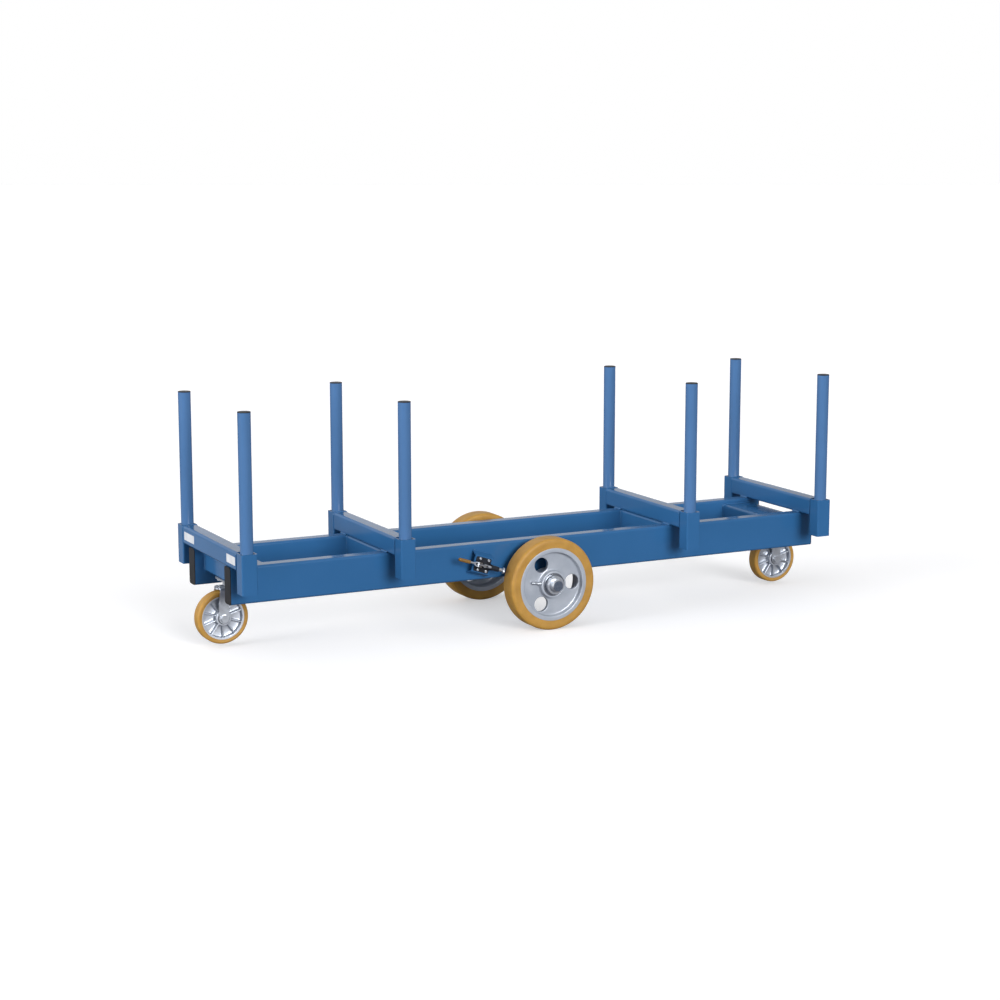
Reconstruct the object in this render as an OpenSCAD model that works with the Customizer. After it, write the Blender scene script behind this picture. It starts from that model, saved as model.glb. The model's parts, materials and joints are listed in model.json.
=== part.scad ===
// Long material stake cart
// Two side beams on a pair of large centre wheels, a swivel caster in the middle of each end,
// and four crossbars whose end sockets hold eight pull-out stakes.
// X runs along the cart, Y across it, Z up. The origin is on the floor under the middle.
// The centre wheels stand lowest, so the cart rocks on them and turns on the spot.

/* [Side beams] */
// Length of each side beam over its end caps
beam_len = 2550; // [2300:10:2900]
// Width over the outer faces of the two side beams
beam_out = 454; // [444:2:480]
// Width of the beam tube
beam_w = 60; // [50:1:64]
// Height of the beam tube
beam_h = 140; // [130:1:150]
// Wall of all the square and oblong tubes
tube_wall = 5; // [4:0.5:6]
// Height of the beams' underside above the axle's centre
beam_lift = 23; // [20:0.5:24.5]
// Lip of the plastic cap on each beam end
cap_lip = 3; // [2:0.5:5]

/* [Cross members] */
// Setback of the end cross members from the beam ends
end_setback = 43; // [38:1:60]
// Width of an end cross member along the cart
end_member_w = 140; // [130:1:160]
// Height of an end cross member
end_member_h = 70; // [60:1:80]
// Distance of the middle crossbars from the cart's centre
mid_x = 620; // [450:5:800]
// Height of a middle cross member
mid_member_h = 120; // [100:1:128]
// Drop of the middle cross members below the beams' top
mid_member_drop = 0; // [0:1:12]

/* [Crossbars and sockets] */
// Width over the outer faces of the stake sockets
deck_w = 710; // [660:5:800]
// Height of a crossbar
crossbar_h = 70; // [50:1:90]
// Side of the square socket tube and width of the crossbar
socket_size = 60; // [60:1:70]
// Height of a socket
socket_h = 150; // [110:1:180]
// Rounding of the sockets' outer edges
socket_corner = 5; // [3:0.5:10]
// Thickness of the floor in each socket
socket_floor = 5; // [4:0.5:8]
// Diameter of the drain hole in the socket floor
drain_d = 12; // [6:1:20]

/* [Stakes] */
// Outside diameter of a stake
stake_d = 48.3; // [40:0.1:48.5]
// Wall of a stake
stake_wall = 3.2; // [2.5:0.1:5]
// Height of the stakes above the crossbars, without their caps
stake_rise = 511; // [300:1:900]
// Lip of the cap on each stake
stake_cap_lip = 3; // [2:0.5:6]
// Depth of the caps' plugs inside the tubes
plug_depth = 20; // [12:1:30]

/* [Centre wheels] */
// Diameter of a centre wheel
wheel_d = 360; // [340:2:380]
// Width of a centre wheel
wheel_w = 80; // [70:1:90]
// Gap between a beam and its wheel
wheel_gap = 33; // [25:1:50]
// Diameter of the cast rim under the tyre
rim_d = 285; // [270:1:300]
// Inner diameter of the rim's lip
lip_d = 250; // [240:1:262]
// Depth of the web below the rim's outer face
web_recess = 18; // [10:1:24]
// Thickness of the web
web_t = 16; // [10:1:20]
// Number of round holes in the web
web_holes = 3; // [3:1:5]
// Diameter of a hole in the web
web_hole_d = 58; // [40:1:60]
// Diameter of the hub boss
hub_d = 105; // [98:1:112]
// Rounding of the tyre's shoulders
tyre_shoulder = 12; // [6:1:16]

/* [Axle] */
// Diameter of the axle
axle_d = 50; // [44:1:54]
// Thickness of an axle saddle plate
saddle_t = 10; // [6:1:14]
// Length of the set collar outside each wheel
collar_len = 15; // [10:1:20]
// Diameter of the set collar
collar_d = 72; // [66:1:84]
// Length of axle that stands out of the collar
axle_stub = 19; // [8:1:30]

/* [Casters] */
// Height of the caster wheels above the floor when both clear it
end_lift = 12; // [6:1:16]
// Diameter of a caster wheel
caster_d = 200; // [180:2:204]
// Width of a caster wheel
caster_w = 50; // [40:1:54]
// Diameter of the cast core under the caster's tyre
core_d = 167; // [150:1:174]
// Number of ribs on each side of the core
core_ribs = 10; // [6:1:14]
// Thickness of a rib
rib_t = 5; // [3:0.5:7]
// Distance of the wheel's axle behind the swivel
trail = 57; // [48:1:62]
// Length of the top plate along the cart
plate_len = 110; // [104:1:120]
// Width of the top plate across the cart
plate_wid = 140; // [130:1:150]
// Bolt spacing of the top plate along the cart
bolt_dx = 80; // [76:1:84]
// Bolt spacing of the top plate across the cart
bolt_dy = 105; // [100:1:114]
// Diameter of the caster bolts
bolt_d = 10; // [8:1:12]
// Thickness of the fork's sheet
fork_t = 5; // [4:0.5:6]
// Width of a fork leg
leg_w = 40; // [34:1:46]

/* [Wheel brakes] */
// Slope of the clamps towards the wheel axle
clamp_slope = 18.2; // [14:0.1:22]
// Depth of the clamp bracket on the beam
bracket_depth = 36; // [28:1:44]
// Height of the plunger above the bracket's face
plunger_h = 22; // [20:1:26]
// Diameter of the plunger rod
plunger_d = 12; // [10:0.5:14]
// Throw of the lever's crank
crank_r = 10; // [8:0.5:11]
// Distance between the two pivots of the link
link_len = 34; // [30:1:38]
// Distance from the link's front pivot to the pad's face
pad_reach = 83; // [78:1:90]
// Diameter of the brake pad
pad_d = 25; // [18:1:30]
// Length of the lever from its pivot to the end of the grip
lever_len = 94; // [80:1:120]

/* [Labels] */
// Height of the blank label plates on the end crossbar
label_h = 31; // [20:1:40]
// Thickness of the label plates
label_t = 1; // [0.5:0.1:2]
// Distance of the front plate's middle from the cart's middle
label_front_y = 241; // [180:1:245]
// Width of the front plate
label_front_w = 90; // [60:1:100]
// Distance of the rear plate's middle from the cart's middle
label_rear_y = 219; // [180:1:235]
// Width of the rear plate
label_rear_w = 110; // [60:1:120]

/* [Hidden] */
$fn = 64;

// Colours
paint_blue = "#35689f";
plastic_black = "#1c1d21";
plate_white = "#eef0f2";
zinc = "#b9bec6";
steel = "#8f949c";
rim_grey = "#c3cad2";
tread_amber = "#b98f4b";
cast_alloy = "#c9ccd1";
clamp_black = "#23252b";
grip_amber = "#c07a2a";

// Clearances
run_fit = 0.05;
seat_gap = 0.3;
bond_gap = 0.05;
plug_gap = 0.3;
over = 1;

// Heights
axle_z = wheel_d / 2;
beam_z = axle_z + beam_lift;
beam_top = beam_z + beam_h;
deck_z = beam_top + crossbar_h;
socket_z = deck_z - socket_h;
stake_z = socket_z + socket_floor;
stake_top = deck_z + stake_rise;

// Places across the cart
beam_y = (beam_out - beam_w) / 2;
bay_w = beam_out - 2 * beam_w;
socket_y = (deck_w - socket_size) / 2;
crossbar_len = deck_w - 2 * socket_size;
stake_bore = socket_size - 2 * tube_wall;

// Places along the cart
end_bar_x = (beam_len - socket_size) / 2;
end_member_x = beam_len / 2 - end_setback - end_member_w / 2;
bar_xs = [-end_bar_x, -mid_x, mid_x, end_bar_x];

// Centre wheel and axle
wheel_y = beam_out / 2 + wheel_gap + wheel_w / 2;
hub_w = wheel_w + 4;
bearing_wall = 20;
bearing_d = axle_d + 2 * bearing_wall;
bearing_w = 20;
bearing_inset = 2;
race_t = 6;
hub_in = wheel_y - hub_w / 2;
hub_out = wheel_y + hub_w / 2;
collar_y = hub_out + 1;
axle_end = collar_y + collar_len + axle_stub;
hole_ring = (hub_d + lip_d) / 4;
saddle_r = axle_d / 2 + 20;
saddle_half = 85;
saddle_edge = 12;
spacer_d = axle_d + 12;
nipple_angle = 172;
nipple_len = 40;

// Caster, with x outward from the swivel
caster_z = end_lift + caster_d / 2;
crown_gap = 8;
crown_t = 8;
crown_z = end_lift + caster_d + crown_gap;
lower_race_h = 9.5;
race_gap = 0.5;
upper_race_h = 9;
race_r = 46;
plate_t = 8;
plate_z = crown_z + crown_t + lower_race_h + race_gap + upper_race_h;
mount_z = plate_z + plate_t;
caster_x = beam_len / 2 - end_setback - plate_len / 2 - 2;
kingpin_r = 8;
kingpin_nut = 24;
kingpin_nut_h = 11.5;
core_hub_d = 60;
core_hub_w = caster_w + 10;
caster_axle_d = 20;
caster_bearing_d = 47;
caster_bearing_w = 14;
fork_in = core_hub_w / 2 + 0.6;
fork_out = fork_in + fork_t;
tongue_w = 44;
tongue_reach = 80;
core_rim_w = caster_w - 4;
core_rim_t = 7.5;
leg_rise = 55;
leg_taper = 9;
crown_back = 50;
sweep_back = 22;
sweep_front = 8;
sweep_drops = [2, 22, 40, 62];

// Wheel brake, with x towards the wheel, y across the clamp and z away from the beam.
// The lever turns from its rest over the clamp until the crank and the link lie in line.
crank_rest = 137;
crank_lock = -3;
pin_rest = crank_r * cos(crank_rest)
    + sqrt(pow(link_len, 2) - pow(crank_r * sin(crank_rest), 2));
pin_lock = crank_r * cos(crank_lock)
    + sqrt(pow(link_len, 2) - pow(crank_r * sin(crank_lock), 2));
brake_stroke = pin_lock - pin_rest;
clamp_s = wheel_d / 2 + seat_gap + pin_lock + pad_reach;
clamp_y = beam_out / 2 + bracket_depth;
crank_pin = [crank_r * cos(crank_rest), crank_r * sin(crank_rest)];
base_t = 3;
base_back = -9;
bulkhead_t = 5;
barrel_x = pin_lock + 7;
barrel_len = 32.5;
base_front = barrel_x + bulkhead_t;
base_w = 57;
screw_dx = 37;
screw_dy = 43.5;
screw_mid = (base_back + base_front) / 2 + 1.5;
screw_d = 6;
link_half = 3;
layer_gap = 0.3;
slot_half = link_half + layer_gap;
cheek_t = 2.5;
ear_t = 3;
cheek_y = plunger_d / 2 + 0.1;
ear_y = cheek_y + cheek_t + layer_gap;
pivot_r = 3.5;
crank_pin_r = 3;
link_end_r = 6;
// How far the link's front end runs ahead of the plunger in mid-swing
link_drift = 3.5;
bracket_t = 5;
bracket_len = 80;
bracket_back = -15;
bracket_half = 33;
bracket_foot = 46;

// Round-cornered oblong, made of bars and circles so that its corners stay true
module rounded_rect(w, h, r) {
    square([w - 2 * r, h], center = true);
    square([w, h - 2 * r], center = true);
    for (x = [-1, 1], y = [-1, 1])
        translate([x * (w / 2 - r), y * (h / 2 - r)]) circle(r = r);
}

module tube_section(w, h, wall) {
    difference() {
        rounded_rect(w, h, 2 * wall);
        rounded_rect(w - 2 * wall, h - 2 * wall, wall);
    }
}

// Tubes that run along X, Y and Z, centred on the origin
module tube_x(w, h, len) {
    rotate([90, 0, 90])
        linear_extrude(len, center = true) tube_section(w, h, tube_wall);
}

module tube_y(w, h, len) {
    rotate([90, 0, 0])
        linear_extrude(len, center = true) tube_section(w, h, tube_wall);
}

module both_sides(side) {
    if (side < 0) children();
    else mirror([0, 1, 0]) children();
}

module on_y_axis(y) {
    translate([0, y, 0]) rotate([-90, 0, 0]) children();
}

// A bar with round ends from p to q
module bar(p, q, r1, r2) {
    n = [q[1] - p[1], p[0] - q[0]] / norm(q - p);
    polygon([p + n * r1, q + n * r2, q - n * r2, p - n * r1]);
    translate(p) circle(r = r1);
    translate(q) circle(r = r2);
}

module ring(r_in, r_out, h) {
    linear_extrude(h, center = true) difference() {
        circle(r = r_out);
        circle(r = r_in);
    }
}

// Ball bearing as one ring, with a groove between its races on both sides
module bearing(bore, outside, width) {
    groove = 1.2;
    rotate_extrude() difference() {
        translate([bore / 2 + run_fit, -width / 2])
            square([outside / 2 - bore / 2 - 2 * run_fit, width]);
        for (s = [-1, 1])
            translate([bore / 2 + race_t, s * width / 2 - groove])
                square([(outside - bore) / 2 - 2 * race_t + 1, 2 * groove]);
    }
}

// Frame
module side_beam(side) {
    color(paint_blue)
        translate([0, side * beam_y, beam_z + beam_h / 2])
            tube_x(beam_w, beam_h, beam_len - 2 * cap_lip);
}

module beam_end_cap() {
    plug_w = beam_w - 2 * tube_wall - 2 * plug_gap;
    plug_h = beam_h - 2 * tube_wall - 2 * plug_gap;
    rotate([90, 0, 90]) {
        linear_extrude(cap_lip) rounded_rect(beam_w, beam_h, 2 * tube_wall);
        translate([0, 0, -plug_depth]) linear_extrude(plug_depth) difference() {
            rounded_rect(plug_w, plug_h, tube_wall);
            rounded_rect(plug_w - 6, plug_h - 6, tube_wall - 2);
        }
    }
}

module beam_end_caps() {
    color(plastic_black)
        for (side = [-1, 1], turn = [0, 180])
            translate([0, side * beam_y, beam_z + beam_h / 2])
                rotate([0, 0, turn]) translate([beam_len / 2 - cap_lip, 0, 0]) beam_end_cap();
}

module end_cross_members() {
    color(paint_blue)
        for (turn = [0, 180]) rotate([0, 0, turn]) difference() {
            translate([end_member_x, 0, mount_z + end_member_h / 2])
                tube_y(end_member_w, end_member_h, bay_w);
            caster_bolt_places() cylinder(d = bolt_d + 1, h = 4 * tube_wall, center = true);
        }
}

module mid_cross_members() {
    color(paint_blue)
        for (x = [-mid_x, mid_x])
            translate([x, 0, beam_top - mid_member_drop - mid_member_h / 2])
                tube_y(socket_size, mid_member_h, bay_w);
}

module crossbar(x) {
    color(paint_blue)
        translate([x, 0, beam_top + crossbar_h / 2])
            tube_y(socket_size, crossbar_h, crossbar_len);
}

module end_crossbars() {
    for (x = [-end_bar_x, end_bar_x]) crossbar(x);
}

module mid_crossbars() {
    for (x = [-mid_x, mid_x]) crossbar(x);
}

module socket() {
    difference() {
        linear_extrude(socket_h) rounded_rect(socket_size, socket_size, socket_corner);
        translate([0, 0, socket_floor])
            linear_extrude(socket_h) rounded_rect(stake_bore, stake_bore, tube_wall);
        translate([0, 0, -over]) cylinder(d = drain_d, h = socket_floor + 2 * over);
    }
}

module sockets(side) {
    color(paint_blue)
        for (x = bar_xs) translate([x, side * socket_y, socket_z]) socket();
}

// Two blank plates on the outer face of the left end crossbar
module label_plates() {
    plates = [[-label_front_y, label_front_w], [label_rear_y, label_rear_w]];
    color(plate_white)
        for (p = plates)
            translate([-beam_len / 2, p[0], deck_z - crossbar_h / 2])
                rotate([90, 0, -90]) linear_extrude(label_t) rounded_rect(p[1], label_h, 3);
}

// Stakes
module stake(side, number) {
    color(paint_blue)
        translate([bar_xs[number - 1], side * socket_y, stake_z])
            linear_extrude(stake_top - stake_z) difference() {
                circle(d = stake_d);
                circle(d = stake_d - 2 * stake_wall);
            }
}

module stake_cap(side, number) {
    plug_r = stake_d / 2 - stake_wall - plug_gap;
    color(plastic_black)
        translate([bar_xs[number - 1], side * socket_y, stake_top]) rotate_extrude() {
            square([stake_d / 2 - 1, stake_cap_lip]);
            square([stake_d / 2, stake_cap_lip - 1]);
            translate([stake_d / 2 - 1, stake_cap_lip - 1])
                intersection() {
                    circle(r = 1);
                    square(1);
                }
            translate([plug_r - 3, -plug_depth]) square([3, plug_depth]);
        }
}

// Axle group
module axle() {
    chamfer = 4.5;
    color(steel) difference() {
        translate([0, 0, axle_z]) on_y_axis(0) rotate_extrude()
            polygon([
                [0, -axle_end], [axle_d / 2 - chamfer, -axle_end],
                [axle_d / 2, -axle_end + chamfer], [axle_d / 2, axle_end - chamfer],
                [axle_d / 2 - chamfer, axle_end], [0, axle_end]
            ]);
        for (side = [-1, 1])
            translate([-axle_d / 2, side * beam_y - beam_w / 2 - seat_gap, beam_z])
                cube([axle_d, beam_w + 2 * seat_gap, axle_d]);
    }
}

module saddle_plate() {
    drop = beam_z - axle_z;
    rotate([90, 0, 0]) linear_extrude(saddle_t, center = true) difference() {
        union() {
            circle(r = saddle_r);
            polygon([
                [-saddle_half, drop], [saddle_half, drop], [saddle_half, drop - saddle_edge],
                [saddle_r * 0.7, -saddle_r * 0.7], [-saddle_r * 0.7, -saddle_r * 0.7],
                [-saddle_half, drop - saddle_edge]
            ]);
        }
        circle(d = axle_d + 2 * run_fit);
        translate([-saddle_r, drop]) square([2 * saddle_r, saddle_r]);
    }
}

module axle_saddles() {
    color(paint_blue)
        for (side = [-1, 1], face = [-1, 1])
            translate([0, side * beam_y + face * (beam_w - saddle_t) / 2, axle_z])
                saddle_plate();
}

// Inner spacer tubes and outer thrust washers
module axle_spacers() {
    inner_from = beam_out / 2;
    inner_to = hub_in + bearing_inset - seat_gap;
    outer_from = hub_out - bearing_inset + seat_gap;
    spans = [[inner_from, inner_to], [outer_from, collar_y]];
    color(zinc)
        for (side = [-1, 1], span = spans)
            translate([0, 0, axle_z]) on_y_axis(side * (span[0] + span[1]) / 2)
                ring(axle_d / 2 + run_fit, spacer_d / 2, span[1] - span[0]);
}

module axle_collars() {
    edge = 1.5;
    color(zinc) for (side = [-1, 1])
        translate([0, 0, axle_z]) on_y_axis(side * (collar_y + collar_len / 2))
            rotate_extrude() polygon([
                [axle_d / 2 + run_fit, -collar_len / 2], [collar_d / 2 - edge, -collar_len / 2],
                [collar_d / 2, -collar_len / 2 + edge], [collar_d / 2, collar_len / 2 - edge],
                [collar_d / 2 - edge, collar_len / 2], [axle_d / 2 + run_fit, collar_len / 2]
            ]);
}

// Centre wheel, drawn about its own centre with +Z as the outer side
module inner_fillet(r) {
    difference() {
        square(r);
        translate([r, r]) circle(r = r);
    }
}

module rim_section() {
    half = wheel_w / 2;
    web_out = half - web_recess;
    web_in = web_out - web_t;
    bore = bearing_d / 2 + run_fit;
    fillet = 7;
    lip_edge = 3;
    difference() {
        union() {
            polygon([
                [lip_d / 2 + lip_edge, -half], [rim_d / 2, -half], [rim_d / 2, half],
                [lip_d / 2 + lip_edge, half], [lip_d / 2, half - lip_edge],
                [lip_d / 2, -half + lip_edge]
            ]);
            translate([bore - 6, web_in]) square([lip_d / 2 - bore + 8, web_t]);
            polygon([
                [bore - 6, -hub_w / 2], [hub_d / 2 - 2, -hub_w / 2],
                [hub_d / 2, -hub_w / 2 + 2], [hub_d / 2, hub_w / 2 - 2],
                [hub_d / 2 - 2, hub_w / 2], [bore - 6, hub_w / 2]
            ]);
            translate([hub_d / 2, web_out]) inner_fillet(fillet);
            translate([lip_d / 2, web_out]) mirror([1, 0]) inner_fillet(fillet);
            translate([hub_d / 2, web_in]) mirror([0, 1]) inner_fillet(fillet);
            translate([lip_d / 2, web_in]) mirror([1, 0]) mirror([0, 1]) inner_fillet(fillet);
        }
        for (s = [-1, 1])
            translate([0, s > 0 ? hub_w / 2 - bearing_w - bearing_inset : -hub_w / 2 - over])
                square([bore, bearing_w + bearing_inset + over]);
    }
}

module grease_nipple() {
    seat = hub_d / 2;
    rotate_extrude() {
        translate([0, seat - 3]) square([6, 10]);
        polygon([
            [0, seat + 6], [3.5, seat + 6], [3.5, seat + nipple_len - 14],
            [5, seat + nipple_len - 10], [5, seat + nipple_len - 6],
            [2, seat + nipple_len], [0, seat + nipple_len]
        ]);
    }
}

module wheel_rim(side) {
    half = wheel_w / 2;
    web_mid = half - web_recess - web_t / 2;
    nipple_z = half - web_recess / 2 + 2;
    color(rim_grey) both_sides(side) translate([0, -wheel_y, axle_z]) rotate([90, 0, 0]) {
        difference() {
            rotate_extrude() rim_section();
            for (i = [0:web_holes - 1])
                rotate(i * 360 / web_holes) translate([hole_ring, 0, web_mid])
                    cylinder(d = web_hole_d, h = web_t + 2 * over, center = true);
        }
        translate([0, 0, nipple_z]) rotate([0, 0, nipple_angle - 90]) rotate([-90, 0, 0])
            grease_nipple();
    }
}

module tyre_section(r_in, r_out, width, shoulder) {
    translate([r_in, -width / 2]) square([r_out - shoulder - r_in, width]);
    translate([r_in, -width / 2 + shoulder]) square([r_out - r_in, width - 2 * shoulder]);
    for (s = [-1, 1])
        translate([r_out - shoulder, s * (width / 2 - shoulder)]) circle(r = shoulder);
}

module wheel_tyre(side) {
    color(tread_amber) both_sides(side)
        translate([0, -wheel_y, axle_z]) rotate([90, 0, 0]) rotate_extrude()
            tyre_section(rim_d / 2 + bond_gap, wheel_d / 2, wheel_w, tyre_shoulder);
}

module wheel_bearings(side) {
    offset_y = hub_w / 2 - bearing_inset - bearing_w / 2;
    color(steel) both_sides(side)
        for (s = [-1, 1])
            translate([0, 0, axle_z]) on_y_axis(-wheel_y + s * offset_y)
                bearing(axle_d, bearing_d, bearing_w);
}

// Casters. The left one is the right one turned half round.
module at_caster(end) {
    rotate([0, 0, end > 0 ? 0 : 180]) translate([caster_x, 0, 0]) children();
}

module caster_bolt_places() {
    translate([caster_x, 0, mount_z])
        for (x = [-1, 1], y = [-1, 1])
            translate([x * bolt_dx / 2, y * bolt_dy / 2, 0]) children();
}

module caster_plate() {
    translate([0, 0, plate_z]) linear_extrude(plate_t) difference() {
        rounded_rect(plate_len, plate_wid, 10);
        for (x = [-1, 1], y = [-1, 1])
            translate([x * bolt_dx / 2, y * bolt_dy / 2]) circle(d = bolt_d + 1);
    }
    translate([0, 0, plate_z - upper_race_h]) cylinder(r = race_r, h = upper_race_h);
    translate([0, 0, crown_z - race_gap - kingpin_nut_h]) {
        cylinder(r = kingpin_r, h = plate_z - crown_z + race_gap + kingpin_nut_h);
        cylinder(d = kingpin_nut / cos(30), h = kingpin_nut_h, $fn = 6);
    }
}

module caster_plates() {
    color(zinc) for (end = [-1, 1]) at_caster(end) caster_plate();
}

module caster_bolt_set() {
    head = 1.7 * bolt_d;
    head_h = 0.64 * bolt_d;
    nut_h = 0.8 * bolt_d;
    caster_bolt_places() {
        translate([0, 0, -plate_t - head_h]) cylinder(d = head / cos(30), h = head_h, $fn = 6);
        translate([0, 0, -plate_t - over]) cylinder(d = bolt_d, h = plate_t + tube_wall + nut_h + 3);
        translate([0, 0, tube_wall]) cylinder(d = head / cos(30), h = nut_h, $fn = 6);
    }
}

module caster_bolts() {
    color(zinc) for (turn = [0, 180]) rotate([0, 0, turn]) caster_bolt_set();
}

// Side view of the pressed fork: crown, swept shoulder and upright leg
module fork_side() {
    foot = trail;
    top = crown_z + crown_t;
    polygon([
        [foot + leg_w / 2, caster_z], [foot + leg_w / 2, caster_z + leg_rise],
        [foot + leg_w / 2 - leg_taper, top], [-crown_back, top],
        [-crown_back, crown_z - sweep_drops[0]], [-sweep_back, crown_z - sweep_drops[1]],
        [sweep_front, crown_z - sweep_drops[2]],
        [foot - leg_w / 2, crown_z - sweep_drops[3]], [foot - leg_w / 2, caster_z]
    ]);
    translate([foot, caster_z]) circle(d = leg_w);
}

// Cross section of the fork: a sheet folded over the wheel
module fork_section() {
    top = crown_z + crown_t;
    bend = 9;
    difference() {
        union() {
            translate([-fork_out, 0]) square([2 * fork_out, top - bend]);
            translate([-fork_out + bend, 0]) square([2 * (fork_out - bend), top]);
            for (s = [-1, 1]) translate([s * (fork_out - bend), top - bend]) circle(r = bend);
        }
        translate([-fork_in, -over]) square([2 * fork_in, crown_z - 4 + over]);
        translate([-fork_in + 4, -over]) square([2 * (fork_in - 4), crown_z + over]);
        for (s = [-1, 1]) translate([s * (fork_in - 4), crown_z - 4]) circle(r = 4);
    }
}

module caster_fork(end) {
    long = 4 * trail + 4 * leg_w;
    color(zinc) at_caster(end) difference() {
        union() {
            intersection() {
                rotate([90, 0, 90]) linear_extrude(long, center = true) fork_section();
                rotate([90, 0, 0]) linear_extrude(4 * fork_out, center = true) fork_side();
            }
            translate([0, 0, crown_z]) linear_extrude(crown_t - 2) {
                translate([0, -tongue_w / 2]) square([tongue_reach - tongue_w / 2, tongue_w]);
                translate([tongue_reach - tongue_w / 2, 0]) circle(d = tongue_w);
            }
            translate([0, 0, crown_z + crown_t - over])
                cylinder(r1 = fork_out, r2 = race_r, h = 6);
            translate([0, 0, crown_z + crown_t + 5 - over])
                cylinder(r = race_r, h = lower_race_h - 5 + over);
        }
        cylinder(r = kingpin_r + run_fit, h = 2 * crown_z);
        translate([tongue_reach - 16, 0, 0]) cylinder(d = 13, h = 2 * crown_z);
        translate([trail, 0, caster_z]) rotate([90, 0, 0])
            cylinder(d = caster_axle_d + 2 * run_fit, h = 4 * fork_out, center = true);
    }
}

module at_caster_wheel(end) {
    at_caster(end) translate([trail, 0, caster_z]) rotate([90, 0, 0]) children();
}

module caster_bolt(end) {
    head = 26;
    head_h = 9;
    color(zinc) at_caster_wheel(end) {
        cylinder(d = caster_axle_d, h = 2 * fork_out, center = true);
        for (s = [0, 180]) rotate([s, 0, 0]) translate([0, 0, fork_out])
            cylinder(d = head / cos(30), h = head_h, $fn = 6);
    }
}

module core_section() {
    web = 8;
    r_out = core_d / 2;
    bore = caster_bearing_d / 2 + run_fit;
    half = core_rim_w / 2;
    difference() {
        union() {
            translate([r_out - core_rim_t, -half]) square([core_rim_t, 2 * half]);
            translate([caster_axle_d, -web / 2]) square([r_out - core_rim_t - caster_axle_d + 2, web]);
            translate([caster_axle_d / 2 + 8, -core_hub_w / 2])
                square([(core_hub_d - caster_axle_d) / 2 - 8, core_hub_w]);
        }
        for (s = [-1, 1])
            translate([0, s > 0 ? core_hub_w / 2 - caster_bearing_w : -core_hub_w / 2 - over])
                square([bore, caster_bearing_w + over]);
    }
}

module caster_core(end) {
    rib_in = core_hub_d / 2 - 1;
    rib_len = core_d / 2 - core_rim_t + 1 - rib_in;
    color(cast_alloy) at_caster_wheel(end) {
        rotate_extrude() core_section();
        for (i = [0:core_ribs - 1])
            rotate((i + 0.5) * 360 / core_ribs) translate([rib_in, -rib_t / 2, -core_rim_w / 2 + 3])
                cube([rib_len, rib_t, core_rim_w - 6]);
    }
}

module caster_tyre(end) {
    color(tread_amber) at_caster_wheel(end) rotate_extrude()
        tyre_section(core_d / 2 + bond_gap, caster_d / 2, caster_w, 8);
}

module caster_bearings(end) {
    offset_z = (core_hub_w - caster_bearing_w) / 2;
    color(steel) at_caster_wheel(end)
        for (s = [-1, 1]) translate([0, 0, s * offset_z])
            bearing(caster_axle_d, caster_bearing_d, caster_bearing_w);
}

// Wheel brakes: push-pull toggle clamps aimed at the axle from the beam's outer face
module at_clamp(side) {
    both_sides(side)
        translate([-clamp_s * cos(clamp_slope), -clamp_y, axle_z + clamp_s * sin(clamp_slope)])
            rotate([0, clamp_slope, 0]) rotate([90, 0, 0]) children();
}

module bracket_section() {
    lean = (bracket_foot - bracket_half) / bracket_depth;
    skew = bracket_t * sqrt(1 + lean * lean);
    polygon([
        [-bracket_foot, -bracket_depth], [-bracket_half, 0], [bracket_half, 0],
        [bracket_foot, -bracket_depth], [bracket_foot - skew, -bracket_depth],
        [bracket_half + lean * bracket_t - skew, -bracket_t],
        [-bracket_half - lean * bracket_t + skew, -bracket_t],
        [-bracket_foot + skew, -bracket_depth]
    ]);
}

module screw_places() {
    for (x = [-1, 1], y = [-1, 1])
        translate([screw_mid + x * screw_dx / 2, y * screw_dy / 2, 0]) children();
}

module brake_brackets() {
    color(paint_blue) for (side = [-1, 1]) at_clamp(side) difference() {
        translate([bracket_back, 0, 0]) rotate([90, 0, 90])
            linear_extrude(bracket_len) bracket_section();
        screw_places() cylinder(d = screw_d + 0.6, h = 4 * bracket_t, center = true);
    }
}

module clamp_base() {
    ear_r = 9;
    shoulder = 11;
    mid = (base_back + base_front) / 2;
    difference() {
        union() {
            translate([mid, 0, 0])
                linear_extrude(base_t) rounded_rect(base_front - base_back, base_w, 5);
            for (s = [-1, 1]) translate([0, s * (ear_y + ear_t / 2), 0]) rotate([90, 0, 0])
                linear_extrude(ear_t, center = true) {
                    translate([-ear_r, 0]) square([2 * ear_r, plunger_h]);
                    translate([0, plunger_h]) circle(r = ear_r);
                }
            translate([barrel_x, 0, 0]) rotate([90, 0, 90]) linear_extrude(bulkhead_t) {
                translate([-shoulder, 0]) square([2 * shoulder, plunger_h]);
                translate([0, plunger_h]) circle(r = shoulder);
            }
            translate([barrel_x, 0, plunger_h]) rotate([0, 90, 0])
                cylinder(d = plunger_d + 8, h = barrel_len);
            for (s = [-1, 1]) translate([0, 0, plunger_h]) rotate([s * 90, 0, 0]) {
                translate([0, 0, cheek_y]) cylinder(r = pivot_r, h = cheek_t + ear_t + 2 * layer_gap);
                translate([0, 0, ear_y + ear_t]) cylinder(r = pivot_r + 1.5, h = 1.5);
            }
        }
        translate([0, 0, plunger_h]) rotate([0, 90, 0])
            translate([0, 0, barrel_x - over])
                cylinder(d = plunger_d + 2 * run_fit, h = barrel_len + 2 * over);
        screw_places() cylinder(d = screw_d + 0.6, h = 4 * base_t, center = true);
    }
}

module brake_bases() {
    color(clamp_black) for (side = [-1, 1]) at_clamp(side) clamp_base();
}

module brake_screws() {
    head_h = 4;
    nut_h = 5;
    color(zinc) for (side = [-1, 1]) at_clamp(side) screw_places() {
        translate([0, 0, base_t]) cylinder(d = 10, h = head_h);
        translate([0, 0, -bracket_t - nut_h - 2])
            cylinder(d = screw_d, h = base_t + bracket_t + nut_h + 2 + over);
        translate([0, 0, -bracket_t - nut_h]) cylinder(d = 10 / cos(30), h = nut_h, $fn = 6);
    }
}

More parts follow.
